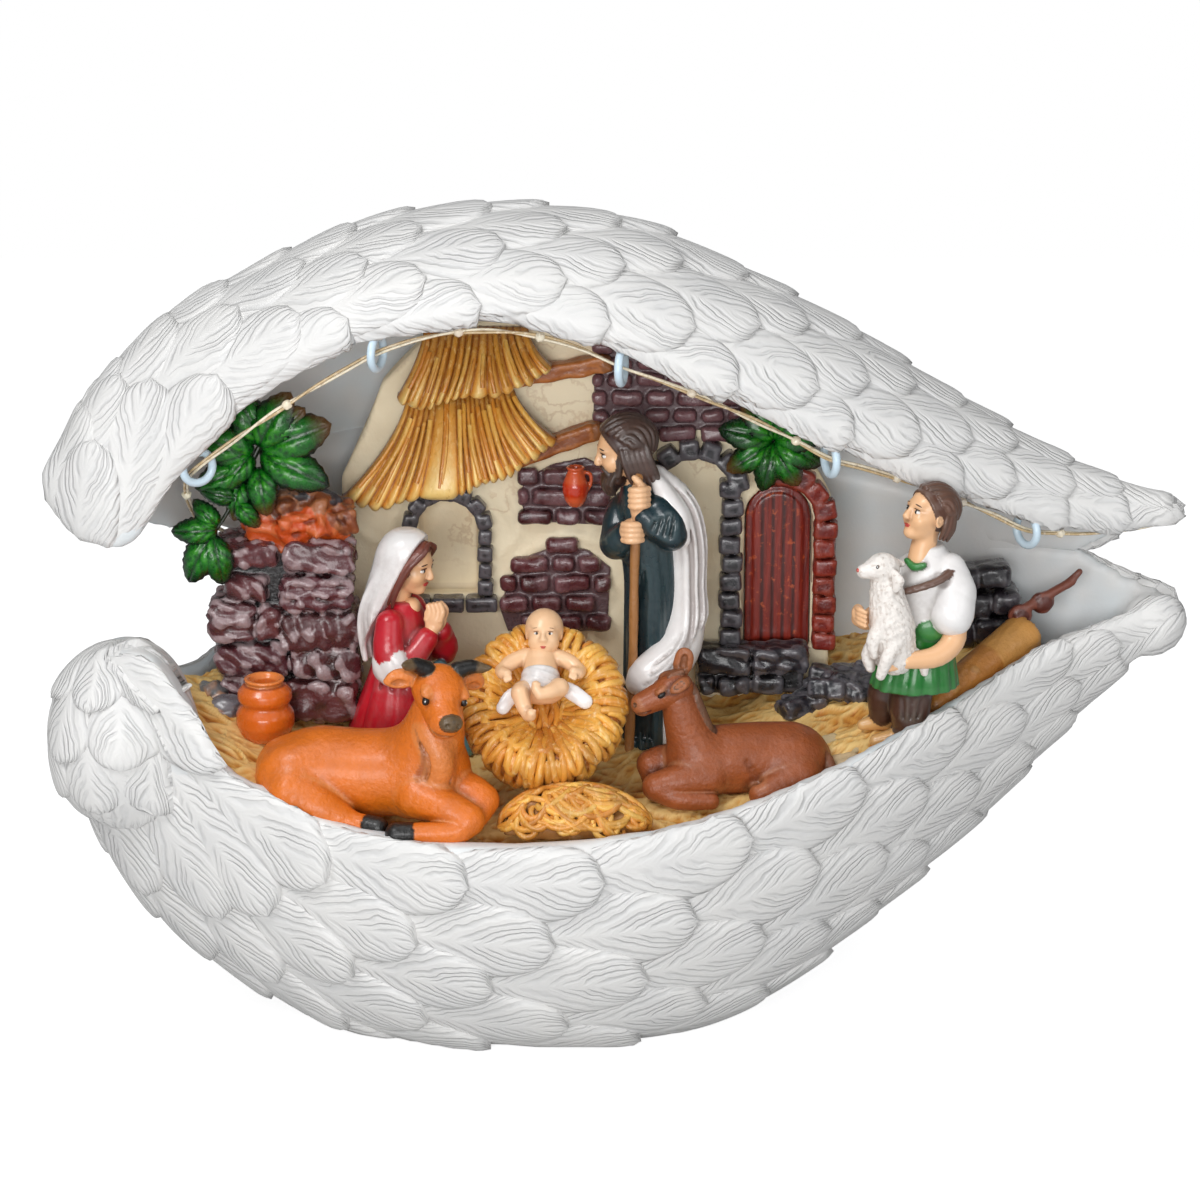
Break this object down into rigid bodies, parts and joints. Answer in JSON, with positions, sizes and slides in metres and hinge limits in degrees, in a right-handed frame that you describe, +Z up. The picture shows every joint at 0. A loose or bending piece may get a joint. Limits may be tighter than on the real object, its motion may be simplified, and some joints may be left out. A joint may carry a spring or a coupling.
{
  "type": "winged nativity figurine",
  "caption": "Nativity scene cast in painted resin, sheltered between a cupped lower and upper feathered wing, with a string of small lights fed from a battery box in the foot",
  "frame": {"origin": "middle of the foot plane, below the middle of the wings", "axes": "+X from the wings' shoulders to their tips, +Y from the open front to the back, +Z up"},
  "size_m": [0.3, 0.1234, 0.217],
  "materials": {
    "wing_white": "white painted resin with a pale blue wash",
    "straw": "golden straw paint",
    "plaster": "cream plaster paint",
    "dark_stone": "near-black stone with silver dry brush",
    "purple_brick": "purple-brown stone with pink dry brush",
    "brown_timber": "brown timber paint",
    "thatch": "ochre thatch with a brown wash",
    "door_red": "dark red timber paint",
    "red_brick": "red brick paint",
    "leaf_green": "glossy green leaves with dark crevices",
    "orange_rock": "orange rock with dark wash",
    "red_clay": "glossy red-orange",
    "orange_clay": "glossy orange",
    "pale_timber": "tan timber and stone paint",
    "dark_timber": "dark red-brown timber paint",
    "dark_straw": "brown-gold straw paint",
    "crib_straw": "pale gold straw paint",
    "skin": "satin skin paint",
    "robe_red": "satin red paint with a white veil",
    "robe_teal": "satin dark teal paint with a white cloak",
    "tunic_green": "satin green, white and brown paint",
    "wool_white": "speckled off-white wool",
    "ox_hide": "orange-tan satin paint",
    "donkey_hide": "chestnut brown satin paint",
    "copper_wire": "lacquered fine wire pair",
    "bead_resin": "clear cast resin bead",
    "eyelet_blue": "pale blue painted loop",
    "box_plastic": "moulded off-white plastic",
    "cell_jacket": "plain cell jacket",
    "contact_metal": "plated contact",
    "switch_black": "black moulded plastic"
  },
  "bodies": {
    "scene": {"lower_wing": "wing_white", "upper_wing": "wing_white", "straw_floor": "straw", "stable_wall": "plaster", "window_surround": "dark_stone", "brick_patches": "purple_brick", "roof_beams": "brown_timber", "lower_thatch": "thatch", "upper_thatch": "thatch", "door_leaf": "door_red", "door_surround": "red_brick", "arch_column": "dark_stone", "door_step": "dark_stone", "rubble_bank": "dark_stone", "door_vine": "leaf_green", "stone_pillar": "purple_brick", "ledge_rock": "orange_rock", "pillar_vine": "leaf_green", "hanging_jar": "red_clay", "clay_pot": "orange_clay", "field_wall": "dark_stone", "log_trough": "pale_timber", "wooden_plough": "dark_timber", "stepping_stones": "pale_timber", "hay_bundle": "dark_straw", "straw_crib": "crib_straw", "infant": "skin", "mother": "robe_red", "father": "robe_teal", "father_staff": "brown_timber", "shepherd": "tunic_green", "lamb": "wool_white", "ox": "ox_hide", "donkey": "donkey_hide", "light_wire": "copper_wire", "light_beads": "bead_resin", "wire_eyelets": "eyelet_blue", "supply_lead": "copper_wire", "battery_box": "box_plastic", "battery_cells": "cell_jacket", "battery_contacts": "contact_metal", "switch_body": "switch_black"},
    "cover": {"battery_cover": "box_plastic"},
    "switch": {"power_switch": "switch_black"}
  },
  "joints": [
    {"name": "cover_pull", "type": "slide", "parent": "scene", "child": "cover", "axis": [0, 0, -1], "range_m": [0, 0.03]},
    {"name": "switch_slide", "type": "slide", "parent": "scene", "child": "switch", "axis": [1, 0, 0], "range_m": [0, 0.004]}
  ]
}
